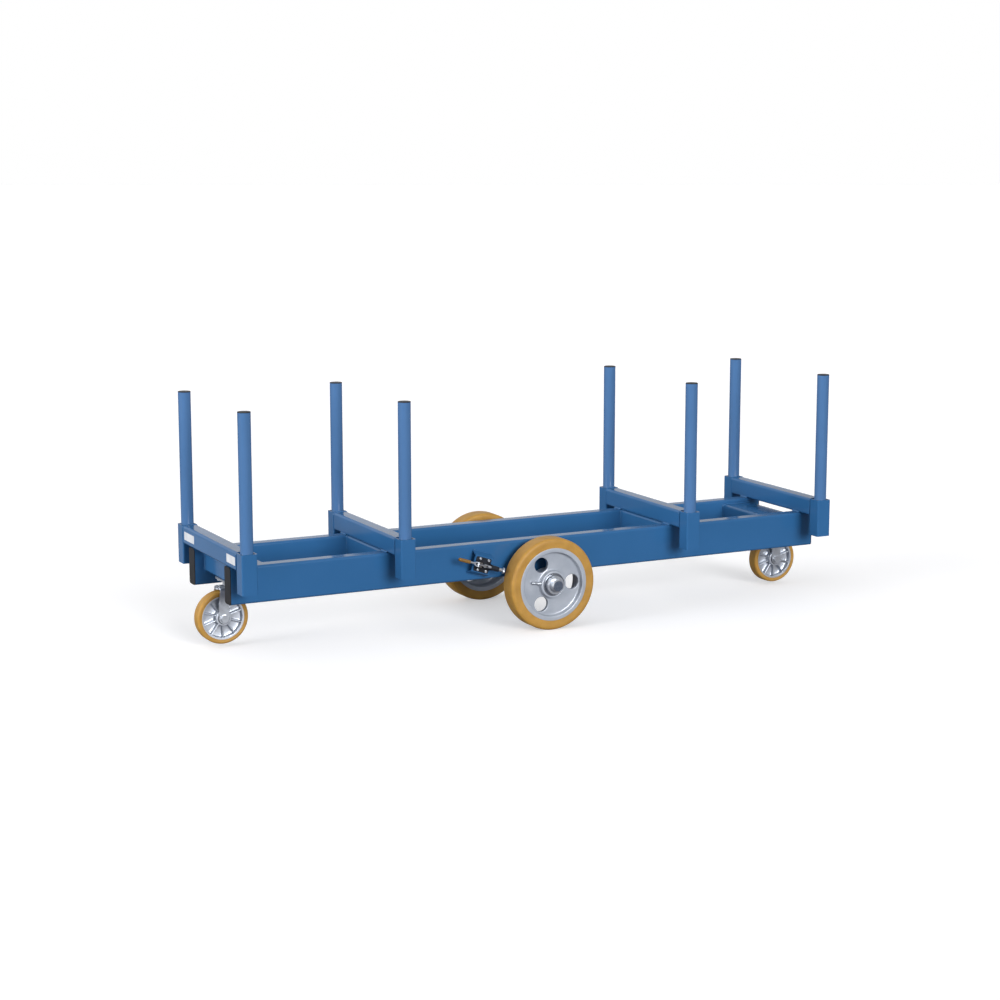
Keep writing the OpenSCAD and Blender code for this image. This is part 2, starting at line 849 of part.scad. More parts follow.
// Flat parts of the lever and the link are drawn in the clamp's side view
module in_side_view(y, t) {
    translate([0, y + t / 2, plunger_h]) rotate([90, 0, 0])
        linear_extrude(t, center = true) children();
}

module lever_cheek() {
    arm = 11;
    difference() {
        union() {
            bar([0, 0], crank_pin, 11, 7.5);
            bar([0, 0], [-arm, 0], 8, 5);
        }
        circle(r = pivot_r + run_fit);
    }
}

module brake_lever(side) {
    neck_r = 4;
    yoke_back = -25;
    yoke_wide = -15;
    yoke_front = -11;
    notch = -19;
    yoke_h = 9;
    span = cheek_y + cheek_t;
    color(zinc) at_clamp(side) {
        for (y = [cheek_y, -cheek_y - cheek_t]) in_side_view(y, cheek_t) lever_cheek();
        translate([crank_pin[0], 0, plunger_h + crank_pin[1]]) rotate([90, 0, 0])
            cylinder(r = crank_pin_r, h = 2 * span, center = true);
        translate([0, 0, plunger_h - yoke_h / 2]) linear_extrude(yoke_h) polygon([
            [yoke_back, -neck_r], [yoke_wide, -span], [yoke_front, -span], [yoke_front, -cheek_y],
            [yoke_wide + 1, -cheek_y], [notch, 0], [yoke_wide + 1, cheek_y], [yoke_front, cheek_y],
            [yoke_front, span], [yoke_wide, span], [yoke_back, neck_r]
        ]);
        translate([-lever_len + 10, 0, plunger_h]) rotate([0, 90, 0])
            cylinder(r = neck_r, h = lever_len - 10 + yoke_back + 1);
    }
}

module brake_grip(side) {
    front = -42;
    bore = 4 + run_fit;
    len = lever_len + front;
    color(grip_amber) at_clamp(side) translate([front, 0, plunger_h]) rotate([0, -90, 0])
        difference() {
            rotate_extrude() {
                polygon([[0, 0], [5.5, 0], [6.5, 2], [7, len * 0.6], [6.5, len - 6], [0, len - 6]]);
                intersection() {
                    translate([0, len - 6.5]) circle(r = 6.5);
                    translate([0, len - 6.5]) square(6.5);
                }
            }
            translate([0, 0, -over]) cylinder(r = bore, h = len - 10 + over + seat_gap);
        }
}

module brake_link(side) {
    color(zinc) at_clamp(side) in_side_view(-link_half, 2 * link_half) difference() {
        bar(crank_pin, [pin_rest, 0], link_end_r, link_end_r);
        translate(crank_pin) circle(r = crank_pin_r + run_fit);
    }
}

// Plunger rod with a slotted tail, a lock nut and a domed pad
module brake_plunger(side) {
    rod_x = pin_rest + link_end_r + link_drift;
    nut_x = pin_rest + pad_reach - 18;
    pad_x = pin_rest + pad_reach;
    r = plunger_d / 2;
    rivet_r = 2.5;
    rivet_rise = 0.5;
    color(zinc) at_clamp(side) {
        for (y = [slot_half, -r]) intersection() {
            in_side_view(y, r - slot_half) bar([pin_rest, 0], [rod_x + 2, 0], r, r);
            translate([0, 0, plunger_h]) rotate([0, 90, 0]) cylinder(r = r, h = nut_x);
        }
        for (s = [-1, 1]) translate([pin_rest, 0, plunger_h]) rotate([s * 90, 0, 0])
            translate([0, 0, slot_half]) cylinder(r = rivet_r, h = r + rivet_rise - slot_half);
        translate([rod_x, 0, plunger_h]) rotate([0, 90, 0]) cylinder(r = r, h = nut_x - rod_x);
        translate([nut_x, 0, plunger_h]) rotate([0, 90, 0]) {
            cylinder(d = 13 / cos(30), h = 5, $fn = 6);
            cylinder(r = 4, h = 12);
        }
        translate([pad_x, 0, plunger_h]) rotate([0, -90, 0]) rotate_extrude() polygon([
            [0, 0], [pad_d / 2 - 3, 0], [pad_d / 2, 2], [pad_d / 2, 3.5],
            [pad_d / 2 - 4, 6], [4, 8], [0, 8]
        ]);
    }
}

side_beam(-1);  // front_beam
side_beam(1);  // rear_beam
beam_end_caps();
end_cross_members();
mid_cross_members();
end_crossbars();
mid_crossbars();
sockets(-1);  // front_sockets
sockets(1);  // rear_sockets
label_plates();
axle();
axle_saddles();
axle_spacers();
axle_collars();
caster_plates();
caster_bolts();
brake_brackets();
brake_bases();
brake_screws();
for (number = [1:4]) {
    stake(-1, number);
    stake(1, number);
    stake_cap(-1, number);
    stake_cap(1, number);
}
wheel_rim(-1);  // front_wheel_rim
wheel_tyre(-1);  // front_wheel_tyre
wheel_bearings(-1);  // front_wheel_bearings
wheel_rim(1);  // rear_wheel_rim
wheel_tyre(1);  // rear_wheel_tyre
wheel_bearings(1);  // rear_wheel_bearings
caster_fork(-1);  // left_caster_fork
caster_bolt(-1);  // left_caster_bolt
caster_core(-1);  // left_caster_core
caster_tyre(-1);  // left_caster_tyre
caster_bearings(-1);  // left_caster_bearings
caster_fork(1);  // right_caster_fork
caster_bolt(1);  // right_caster_bolt
caster_core(1);  // right_caster_core
caster_tyre(1);  // right_caster_tyre
caster_bearings(1);  // right_caster_bearings
brake_lever(-1);  // front_brake_lever
brake_grip(-1);  // front_brake_grip
brake_link(-1);  // front_brake_link
brake_plunger(-1);  // front_brake_plunger
brake_lever(1);  // rear_brake_lever
brake_grip(1);  // rear_brake_grip
brake_link(1);  // rear_brake_link
brake_plunger(1);  // rear_brake_plunger
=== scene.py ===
# %% [markdown]
# # A long material stake cart
#
# The cart is a welded frame of painted steel tube on two big centre wheels and two swivel casters.
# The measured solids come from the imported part. This lesson dresses them: it gives each solid the
# finish of the real thing, and builds the forms that need finer surfaces, such as the dished wheel.

import json
import math

import bmesh
import bpy
import numpy as np
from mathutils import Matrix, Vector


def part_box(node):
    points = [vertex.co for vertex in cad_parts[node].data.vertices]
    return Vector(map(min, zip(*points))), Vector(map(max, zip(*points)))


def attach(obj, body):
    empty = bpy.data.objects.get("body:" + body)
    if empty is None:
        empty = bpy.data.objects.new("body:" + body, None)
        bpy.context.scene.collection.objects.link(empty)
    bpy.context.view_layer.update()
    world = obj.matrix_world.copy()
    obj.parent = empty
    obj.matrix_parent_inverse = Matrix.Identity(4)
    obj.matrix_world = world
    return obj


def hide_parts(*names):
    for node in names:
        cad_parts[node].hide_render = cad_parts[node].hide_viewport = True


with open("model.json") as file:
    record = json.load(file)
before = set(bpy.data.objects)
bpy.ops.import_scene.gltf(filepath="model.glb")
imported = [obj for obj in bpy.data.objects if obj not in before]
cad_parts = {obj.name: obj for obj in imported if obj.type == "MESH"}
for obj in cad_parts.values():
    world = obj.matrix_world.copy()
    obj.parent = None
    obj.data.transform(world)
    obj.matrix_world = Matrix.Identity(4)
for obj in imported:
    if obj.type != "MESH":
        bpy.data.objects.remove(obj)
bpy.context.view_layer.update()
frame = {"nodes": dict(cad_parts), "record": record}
nodes = frame["nodes"]
print("solids loaded:", len(nodes))

# %% [markdown]
# ## Camera
#
# The photograph was taken from the left front corner, a little above the stakes' middle, with a
# long lens. The place comes from a fit of the tube corners, so the camera needs no shift.

# %% Camera
camera_data = bpy.data.cameras.new("camera")
camera_data.sensor_width = 36
camera_data.lens = 79.355
camera_data.clip_end = 60
camera = bpy.data.objects.new("camera", camera_data)
camera.location = (-3.94448, -7.66329, 1.97737)
camera.rotation_euler = (math.radians(80), 0, math.radians(-26.88))
bpy.context.scene.collection.objects.link(camera)
bpy.context.scene.camera = camera
print("camera height:", round(camera.location.z, 3), "m")

# %% [markdown]
# ## Colours and nodes
#
# Colours are written as the hex values that a paint card would give. A shader works in linear
# light, so one function turns them over. One more adds any node with its settings and links.


# %% Colour and node helpers
def linear(code):
    """sRGB hex to linear: c / 12.92 up to 0.04045, and above it ((c + 0.055) / 1.055) to the
    power of 2.4."""
    c = np.array([int(code[i:i + 2], 16) for i in (1, 3, 5)]) / 255
    flat = np.where(c <= 0.04045, c / 12.92, ((c + 0.055) / 1.055) ** 2.4)
    return (*flat.tolist(), 1.0)


def add_node(tree, kind, inputs=None, **settings):
    """Adds a node with its settings. Each input gets a number, a colour or another's output."""
    made = tree.nodes.new(kind)
    for key, value in settings.items():
        setattr(made, key, value)
    for key, value in (inputs or {}).items():
        if isinstance(value, bpy.types.NodeSocket):
            tree.links.new(value, made.inputs[key])
        else:
            made.inputs[key].default_value = value
    return made


def new_material(name):
    """An empty node material with its output, ready for a shader."""
    material = bpy.data.materials.new(name)
    material.use_nodes = True
    material.node_tree.nodes.clear()
    output = add_node(material.node_tree, "ShaderNodeOutputMaterial")
    return material, material.node_tree, output


print("white in linear light:", linear("#ffffff"))

# %% [markdown]
# ## Powder coat
#
# Polyester powder is sprayed on dry and baked. It flows to a hard glossy skin with a faint orange
# peel, a ripple about 5 mm long. Over a big tube the blue drifts very slightly, and the gloss is a
# little duller where dust has settled.


# %% Powder coat
def powder_coat(name, light, dark, peel_mm=5.0):
    """Two close tones mixed by slow noise, a glossy skin, and a ripple peel_mm long as bump."""
    material, tree, output = new_material(name)
    place = add_node(tree, "ShaderNodeTexCoord").outputs["Object"]
    drift = add_node(tree, "ShaderNodeTexNoise", {"Vector": place, "Scale": 3.0, "Detail": 3.0})
    tone = add_node(tree, "ShaderNodeValToRGB", {"Fac": drift.outputs["Fac"]})
    for end, stop, code in zip(tone.color_ramp.elements, (0.35, 0.65), (dark, light)):
        end.position, end.color = stop, linear(code)
    dust = add_node(tree, "ShaderNodeTexNoise", {"Vector": place, "Scale": 14.0, "Detail": 6.0})
    gloss = add_node(tree, "ShaderNodeMapRange", {
        "Value": dust.outputs["Fac"], "From Min": 0.3, "From Max": 0.7,
        "To Min": 0.13, "To Max": 0.2})
    peel = add_node(tree, "ShaderNodeTexNoise", {
        "Vector": place, "Scale": 1000.0 / peel_mm, "Detail": 2.0})
    bump = add_node(tree, "ShaderNodeBump", {
        "Height": peel.outputs["Fac"], "Strength": 0.12, "Distance": 0.0002})
    paint = add_node(tree, "ShaderNodeBsdfPrincipled", {
        "Base Color": tone.outputs["Color"], "Roughness": gloss.outputs["Result"],
        "Normal": bump.outputs["Normal"], "IOR": 1.45, "Specular IOR Level": 0.35})
    tree.links.new(paint.outputs["BSDF"], output.inputs["Surface"])
    return material


blue_powder_coat = powder_coat("blue_powder_coat", "#2e5e8d", "#2b5b89")
# The stakes wear the frame's paint; their lighter tones are painted light, for the extra light the
# upright tubes catch.
stake_coat_with_painted_light = powder_coat("stake_coat_with_painted_light", "#476b97", "#446893")
print("made", blue_powder_coat.name, stake_coat_with_painted_light.name)

# %% [markdown]
# ## Cast polyurethane
#
# The treads are amber polyurethane, poured hot round the rim and turned true once it has set. The
# resin is slightly clear, so light goes a few millimetres in and comes back warmer. The lathe
# leaves fine rings about 1 mm apart, drawn here as 2 mm so that they still show.


# %% Polyurethane tread
def cast_polyurethane(name, light, dark, ring_m=0.002):
    """Slow noise mixes two ambers, and sine rings, ring_m apart, follow the profile in the UV map.
    A wave texture is the sine of 20 times its place, so its scale is 2 pi / 20 / ring_m."""
    material, tree, output = new_material(name)
    coord = add_node(tree, "ShaderNodeTexCoord")
    cloud = add_node(tree, "ShaderNodeTexNoise", {
        "Vector": coord.outputs["Object"], "Scale": 26.0, "Detail": 4.0})
    tone = add_node(tree, "ShaderNodeValToRGB", {"Fac": cloud.outputs["Fac"]})
    for end, stop, code in zip(tone.color_ramp.elements, (0.3, 0.7), (dark, light)):
        end.position, end.color = stop, linear(code)
    rings = add_node(tree, "ShaderNodeTexWave", {
        "Vector": coord.outputs["UV"], "Scale": 2 * math.pi / 20 / ring_m, "Distortion": 0.4,
        "Detail": 1.0}, wave_type="BANDS", bands_direction="Y")
    bump = add_node(tree, "ShaderNodeBump", {
        "Height": rings.outputs["Fac"], "Strength": 0.12, "Distance": 0.0002})
    resin = add_node(tree, "ShaderNodeBsdfPrincipled", {
        "Base Color": tone.outputs["Color"], "Roughness": 0.48, "Normal": bump.outputs["Normal"],
        "IOR": 1.5, "Specular IOR Level": 0.3, "Subsurface Weight": 0.2,
        "Subsurface Radius": (0.9, 0.5, 0.15), "Subsurface Scale": 0.006})
    tree.links.new(resin.outputs["BSDF"], output.inputs["Surface"])
    return material


amber_polyurethane = cast_polyurethane("amber_polyurethane", "#b18740", "#a27a38")
print("made", amber_polyurethane.name)

# %% [markdown]
# ## Silver enamel on cast iron
#
# The centre wheels are sand cast and dipped in a pale grey enamel. The sand leaves a skin with
# grains under a millimetre, which the enamel softens into a gentle pebble of about 3 mm.


# %% Enamelled casting
def enamelled_casting(name, light, dark, pebble_mm=3.0):
    """Pale grey with slow drift, a soft gloss under a thin coat, and pebbles pebble_mm wide."""
    material, tree, output = new_material(name)
    place = add_node(tree, "ShaderNodeTexCoord").outputs["Object"]
    drift = add_node(tree, "ShaderNodeTexNoise", {"Vector": place, "Scale": 18.0, "Detail": 5.0})
    tone = add_node(tree, "ShaderNodeValToRGB", {"Fac": drift.outputs["Fac"]})
    for end, stop, code in zip(tone.color_ramp.elements, (0.35, 0.65), (dark, light)):
        end.position, end.color = stop, linear(code)
    pebble = add_node(tree, "ShaderNodeTexNoise", {
        "Vector": place, "Scale": 1000 / pebble_mm, "Detail": 3.0, "Roughness": 0.6})
    bump = add_node(tree, "ShaderNodeBump", {
        "Height": pebble.outputs["Fac"], "Strength": 0.35, "Distance": 0.0003})
    enamel = add_node(tree, "ShaderNodeBsdfPrincipled", {
        "Base Color": tone.outputs["Color"], "Roughness": 0.34, "Normal": bump.outputs["Normal"],
        "Metallic": 0.25, "Coat Weight": 0.4, "Coat Roughness": 0.12})
    tree.links.new(enamel.outputs["BSDF"], output.inputs["Surface"])
    return material


silver_enamel = enamelled_casting("silver_enamel", "#aeb4be", "#9fa6b1")
print("made", silver_enamel.name)

# %% [markdown]
# ## Bare and plated metals
#
# Four metals show on the cart. Zinc plate has a bluish passivated skin that clouds in patches of
# about 14 mm. Pressure die-cast aluminium is duller and clouds in smaller patches. The faced axle
# is the darkest, and the ground bearing races are the smoothest. They share one recipe.


# %% Metals
def metal(name, light, dark, patch_mm, rough, grain_mm, grain_strength):
    """Metal whose tone and roughness drift in patches patch_mm wide, with grain_mm bump over it."""
    material, tree, output = new_material(name)
    place = add_node(tree, "ShaderNodeTexCoord").outputs["Object"]
    cloud = add_node(tree, "ShaderNodeTexNoise", {
        "Vector": place, "Scale": 1000 / patch_mm, "Detail": 4.0, "Roughness": 0.6})
    tone = add_node(tree, "ShaderNodeValToRGB", {"Fac": cloud.outputs["Fac"]})
    for end, stop, code in zip(tone.color_ramp.elements, (0.3, 0.7), (dark, light)):
        end.position, end.color = stop, linear(code)
    haze = add_node(tree, "ShaderNodeMapRange", {
        "Value": cloud.outputs["Fac"], "From Min": 0.3, "From Max": 0.7,
        "To Min": rough[1], "To Max": rough[0]})
    grain = add_node(tree, "ShaderNodeTexNoise", {
        "Vector": place, "Scale": 1000 / grain_mm, "Detail": 2.0})
    bump = add_node(tree, "ShaderNodeBump", {
        "Height": grain.outputs["Fac"], "Strength": grain_strength, "Distance": 0.0002})
    skin = add_node(tree, "ShaderNodeBsdfPrincipled", {
        "Base Color": tone.outputs["Color"], "Metallic": 1.0,
        "Roughness": haze.outputs["Result"], "Normal": bump.outputs["Normal"]})
    tree.links.new(skin.outputs["BSDF"], output.inputs["Surface"])
    return material


zinc_plate = metal(
    "zinc_plate", "#dde1e7", "#c3c9d2", patch_mm=14, rough=(0.28, 0.4),
    grain_mm=4.0, grain_strength=0.1)
cast_aluminium = metal(
    "cast_aluminium", "#d3d8e0", "#bcc2cc", patch_mm=9, rough=(0.33, 0.45),
    grain_mm=2.0, grain_strength=0.4)
axle_steel = metal(
    "turned_axle_steel", "#8a93a3", "#596577", patch_mm=16, rough=(0.25, 0.45),
    grain_mm=2.0, grain_strength=0.25)
bearing_steel = metal(
    "ground_bearing_steel", "#c3c7cf", "#9aa0ab", patch_mm=20, rough=(0.18, 0.3),
    grain_mm=2.0, grain_strength=0.1)
print("metals:", zinc_plate.name, cast_aluminium.name, axle_steel.name, bearing_steel.name)

# %% [markdown]
# ## Plastics and the blackened clamp
#
# The end caps and stake caps are moulded black polyethylene with a fine spark-eroded grain. The
# grips are amber vinyl, and the two plates are white laminate. The clamp base is steel with a black
# oxide skin, which looks as plain as a moulding, so one recipe makes all four.


# %% Plastics
def moulded(name, light, dark, grain_mm, roughness, strength):
    """A plain skin: two close tones by noise, and an even grain grain_mm wide as bump."""
    material, tree, output = new_material(name)
    place = add_node(tree, "ShaderNodeTexCoord").outputs["Object"]
    drift = add_node(tree, "ShaderNodeTexNoise", {"Vector": place, "Scale": 30.0, "Detail": 4.0})
    tone = add_node(tree, "ShaderNodeValToRGB", {"Fac": drift.outputs["Fac"]})
    for end, stop, code in zip(tone.color_ramp.elements, (0.35, 0.65), (dark, light)):
        end.position, end.color = stop, linear(code)
    grain = add_node(tree, "ShaderNodeTexVoronoi", {"Vector": place, "Scale": 1000 / grain_mm})
    bump = add_node(tree, "ShaderNodeBump", {
        "Height": grain.outputs["Distance"], "Strength": strength, "Distance": 0.0002})
    skin = add_node(tree, "ShaderNodeBsdfPrincipled", {
        "Base Color": tone.outputs["Color"], "Roughness": roughness,
        "Normal": bump.outputs["Normal"], "IOR": 1.5, "Specular IOR Level": 0.35})
    tree.links.new(skin.outputs["BSDF"], output.inputs["Surface"])
    return material


black_polyethylene = moulded(
    "black_polyethylene", "#16181e", "#0f1116", grain_mm=2.0, roughness=0.55, strength=0.3)
blackened_steel = moulded(
    "blackened_steel", "#23262e", "#15171d", grain_mm=1.5, roughness=0.3, strength=0.2)
amber_vinyl = moulded(
    "amber_vinyl", "#8c672c", "#6e4e20", grain_mm=2.5, roughness=0.35, strength=0.2)
white_laminate = moulded(
    "white_laminate", "#d5d8dd", "#c9cdd3", grain_mm=4.0, roughness=0.25, strength=0.05)
print("plastics:", black_polyethylene.name, amber_vinyl.name, white_laminate.name)

# %% [markdown]
# ## Finish by slot
#
# Every solid names its finish in the imported record, so one table turns the slot names into the
# materials made above. The stakes wear the frame's paint, but their coat is a lighter blue: that is
# painted light, standing for the extra light the upright tubes catch.

# %% Give each solid its finish
finish_of_slot = {
    "blue_powder_coat": blue_powder_coat,
    "black_plastic": black_polyethylene,
    "white_plate": white_laminate,
    "axle_steel": axle_steel,
    "zinc_plate": zinc_plate,
    "black_clamp": blackened_steel,
    "grey_rim_paint": silver_enamel,
    "amber_tread": amber_polyurethane,
    "bearing_steel": bearing_steel,
    "cast_aluminium": cast_aluminium,
    "amber_grip": amber_vinyl,
}
for part in frame["record"]["subparts"]:
    solid = nodes[part["node"]]
    solid.data.materials.clear()
    is_stake = "_stake_" in part["node"] and "_cap_" not in part["node"]
    # Stakes get the lighter coat, whose extra brightness is painted light.
    finish = stake_coat_with_painted_light if is_stake else finish_of_slot[part["material_slot"]]
    solid.data.materials.append(finish)

# %% [markdown]
# ## Surfaces from grids
#
# Each new piece is one or more grids of points. Rows and columns are two parameters, such as the
# way along a profile and the angle round an axle. Neighbours on the grid make a quad. Grids that
# share an edge are joined by merging the points that fall together, and then every face is turned
# outwards.


# %% From grids to a piece
def surface_map(points):
    """A UV in metres for a grid: U grows with the distance along its middle row, and V with the
    distance down its middle column."""
    rows, columns = points.shape[:2]
    step_u = np.linalg.norm(np.diff(points[rows // 2], axis=0), axis=1)
    step_v = np.linalg.norm(np.diff(points[:, columns // 2], axis=0), axis=1)
    u, v = np.append(0, np.cumsum(step_u)), np.append(0, np.cumsum(step_v))
    return np.stack(np.meshgrid(u, v), -1)


def make_piece(name, grids, body, slot, smooth_below=40, merge_below=4e-6, sliver_below=1e-7):
    """Joins grids (rows, columns, 3) in metres into one mesh that rides on a body and has its
    slot's finish. Edges bent by less than smooth_below degrees are smooth. Points closer than
    merge_below metres are joined, and edges shorter than sliver_below metres are removed."""
    counts = [g.shape[0] * g.shape[1] for g in grids]
    starts = np.append(0, np.cumsum(counts))
    quads = []
    for g, start in zip(grids, starts):
        index = np.arange(g.shape[0] * g.shape[1]).reshape(g.shape[:2]) + start
        around = [index[:-1, :-1], index[1:, :-1], index[1:, 1:], index[:-1, 1:]]
        quads.append(np.stack(around, -1).reshape(-1, 4))
    quads = np.concatenate(quads)
    points = np.concatenate([g.reshape(-1, 3) for g in grids])
    flat = np.concatenate([surface_map(g).reshape(-1, 2) for g in grids])
    mesh = bpy.data.meshes.new(name)
    mesh.from_pydata(points, [], quads)
    layer = mesh.uv_layers.new(name="surface")
    layer.data.foreach_set("uv", flat[quads.ravel()].astype(np.float32).ravel())
    shell = bmesh.new()
    shell.from_mesh(mesh)
    bmesh.ops.remove_doubles(shell, verts=shell.verts, dist=merge_below)
    bmesh.ops.dissolve_degenerate(shell, edges=shell.edges, dist=sliver_below)
    bmesh.ops.recalc_face_normals(shell, faces=shell.faces)
    shell.to_mesh(mesh)
    shell.free()
    mesh.shade_smooth()
    mesh.set_sharp_from_angle(angle=math.radians(smooth_below))
    mesh.materials.append(finish_of_slot[slot])
    piece = bpy.data.objects.new(name, mesh)
    bpy.context.scene.collection.objects.link(piece)
    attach(piece, body)
    return piece


print("pieces can be made from grids")


# %% Profiles and places
def rounded(corners, radii, steps=6):
    """A polyline whose inner corners are arcs. Each arc touches both sides, so its centre lies on
    the corner's bisector, radius / sin(half angle) away, and its points turn evenly."""
    p = np.array(corners, float)
    r = np.broadcast_to(np.array(radii, float), (len(p) - 2,)).reshape(-1, 1)
    a, b = p[:-2] - p[1:-1], p[2:] - p[1:-1]
    a = a / np.linalg.norm(a, axis=1, keepdims=True)
    b = b / np.linalg.norm(b, axis=1, keepdims=True)
    half = 0.5 * np.arccos(np.clip((a * b).sum(1, keepdims=True), -1, 1))
    between = (a + b) / np.linalg.norm(a + b, axis=1, keepdims=True)
    middle = p[1:-1] + between * r / np.sin(half)
    start = (p[1:-1] + a * r / np.tan(half) - middle)[:, None]
    end = (p[1:-1] + b * r / np.tan(half) - middle)[:, None]
    sweep = (np.pi - 2 * half)[:, None]
    t = np.linspace(0, 1, steps).reshape(1, -1, 1)
    turning = np.sin((1 - t) * sweep) * start + np.sin(t * sweep) * end
    arcs = middle[:, None] + turning / np.sin(sweep)
    return np.vstack([p[:1], arcs.reshape(-1, 2), p[-1:]])


def turned(profile, segments=144):
    """A profile of (radius, height) carried round its axis: x = r cos a, z = r sin a."""
    angle = np.linspace(0, 2 * np.pi, segments + 1)
    r, h = profile[:, :1], profile[:, 1:]
    return np.stack([r * np.cos(angle), r * np.sin(angle), h + 0 * angle], -1)


def on_axle(grid, centre, outward):
    """Local millimetres to metres in the frame: the local height points along Y, outward."""
    x, z, h = grid[..., 0], grid[..., 1], grid[..., 2]
    place = np.stack([x, outward * h, z], -1) / 1000
    return place + centre


def span(node):
    """The low and the high corner of a solid's box, in millimetres rounded to a tenth."""
    return np.round(np.array(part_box(node)) * 1000, 1)


print("length of a beam without its caps:", np.ptp(span("front_beam")[:, 0]), "mm")

# %% [markdown]
# ## The dished wheel
#
# The rim is one casting: a hub boss, a dished web with three round holes, and a deep rim with a
# lip. The lathe work is two turned profiles. The web between them can't be turned, because of its
# holes, so each third is a sheet wrapped round its own hole: one parameter runs round the hole and
# out to the third's own edge, and the other goes from the front face through the hole to the back.

# %% Wheel sizes
# Each side's name, and the way along Y that leads outward from the cart.
both_sides = (("front", -1), ("rear", 1))
wheel_centre = {side: span(side + "_wheel_tyre").mean(0) / 1000 for side in ("front", "rear")}
axle_height = span("front_wheel_tyre")[:, 2].mean()
half_width, rim_radius, lip_radius, lip_draft = 40.0, 142.5, 125.0, 0.5
hub_radius, hub_half, bore_radius = 52.5, 42.0, 45.05
hub_rounds, lip_rounds = [2.5, 1, 1, 2.5], [3, 1, 1, 3]
web_front, web_back, fillet, arc_points = 22.0, 6.0, 7.0, 6
hole_ring, hole_radius, hole_round = 88.75, 29.0, 2.5
sheet_inner, sheet_outer, third_half = 54.0, 123.5, 60
print("web thickness:", web_front - web_back, "mm")


# %% Web thirds
def fillet_rise(r):
    """How far the web climbs near the hub and the lip: the fillet's radius less the square root
    of its square minus the square of the reach."""
    inward = np.clip(hub_radius + fillet - r, 0, fillet)
    outward = np.clip(r - (lip_radius - fillet), 0, fillet)
    reach = np.maximum(inward, outward)
    return fillet - np.sqrt(fillet ** 2 - reach ** 2)


def web_third(turn, arc_steps=49, side_steps=21, face_rows=17):
    """Columns run round the hole, in four stretches that face the third's outer arc, one side, its
    inner arc and the other side. Rows run from the edge to the hole, through it, and back."""
    arc = np.radians(np.linspace(-third_half, third_half, arc_steps))
    side = np.linspace(sheet_outer, sheet_inner, side_steps)[1:-1]
    tip = np.radians(third_half)
    outer = sheet_outer * np.stack([np.cos(arc), np.sin(arc)], 1)
    inner = sheet_inner * np.stack([np.cos(arc[::-1]), np.sin(arc[::-1])], 1)
    up = side[:, None] * [[np.cos(tip), np.sin(tip)]]
    down = side[::-1, None] * [[np.cos(tip), -np.sin(tip)]]
    edge = np.vstack([outer, up, inner, down, outer[:1]])
    corner_aims = (-50, 50, 130, 230, 310)
    stretches = zip(corner_aims, corner_aims[1:], (arc_steps, side_steps, arc_steps, side_steps))
    aim = [np.linspace(start, stop, steps)[:-1] for start, stop, steps in stretches]
    aim = np.radians(np.concatenate([*aim, corner_aims[-1:]]))
    heading = np.stack([np.cos(aim), np.sin(aim)], 1)
    centre = np.array([hole_ring, 0])
    near = centre + (hole_radius + hole_round) * heading
    # Steps that are half even and half eased, so that the rows gather at both ends.
    share = np.linspace(0, 1, face_rows).reshape(-1, 1, 1)
    share = 0.5 * share + 0.5 * (3 * share ** 2 - 2 * share ** 3)
    face = edge + (near - edge) * share
    climb = fillet_rise(np.hypot(face[..., 0], face[..., 1]))
    bend = np.linspace(0, np.pi / 2, arc_points)[1:].reshape(-1, 1, 1)
    lip = centre + (hole_radius + hole_round * (1 - np.sin(bend))) * heading
    drop = hole_round * (1 - np.cos(bend[..., 0])) - climb[-1]
    front = np.concatenate([face, lip])
    flat = np.concatenate([front, front[::-1]])
    height = np.concatenate([
        web_front + climb, web_front - drop, web_back + drop[::-1], web_back - climb[::-1]])
    x, y = flat[..., 0], flat[..., 1]
    c, s = np.cos(turn), np.sin(turn)
    return np.stack([c * x - s * y, s * x + c * y, height], -1)


thirds = [web_third(math.radians(a)) for a in (0, 120, 240)]
print("web grid:", thirds[0].shape)


# %% Turned parts of the rim
def fillet_arc(start_radius, sign, base):
    """Points of the fillet from the sheet's edge up to the wall, at even angles of a circle."""
    centre = hub_radius + fillet if sign < 0 else lip_radius - fillet
    reach = np.linspace(math.asin(abs(start_radius - centre) / fillet), math.pi / 2, arc_points)
    radius, height = centre + sign * fillet * np.sin(reach), base + fillet * (1 - np.cos(reach))
    return np.stack([radius, height], 1)


hub_front = fillet_arc(sheet_inner, -1, web_front)
hub_back = fillet_arc(sheet_inner, -1, -web_back) * [1, -1]
lip_front = fillet_arc(sheet_outer, 1, web_front)
lip_back = fillet_arc(sheet_outer, 1, -web_back) * [1, -1]
hub_face = rounded([
    hub_front[-1], (hub_radius, hub_half), (bore_radius, hub_half), (bore_radius, -hub_half),
    (hub_radius, -hub_half), hub_back[-1]], hub_rounds)
lip_face = rounded([
    lip_front[-1], (lip_radius + lip_draft, half_width), (rim_radius, half_width),
    (rim_radius, -half_width), (lip_radius + lip_draft, -half_width), lip_back[-1]], lip_rounds)
hub_profile = np.vstack([hub_front[:-1], hub_face, hub_back[-2::-1]])
lip_profile = np.vstack([lip_front[:-1], lip_face, lip_back[-2::-1]])
print("profile points:", len(hub_profile), len(lip_profile))

# %% Build both rims
rim_grids = [*thirds, turned(hub_profile), turned(lip_profile)]
for side, outward in both_sides:
    grids = [on_axle(g, wheel_centre[side], outward) for g in rim_grids]
    rim = make_piece(side + "_cast_rim", grids, side + "_wheel", "grey_rim_paint")
    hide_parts(side + "_wheel_rim")
    print(rim.name, len(rim.data.polygons), "faces")

# %% [markdown]
# ## Tyres
#
# A poured tread has a flat side wall, a shallow step where the mould's ring sat, and a soft
# shoulder. The same kind of profile, smaller, makes the caster treads.


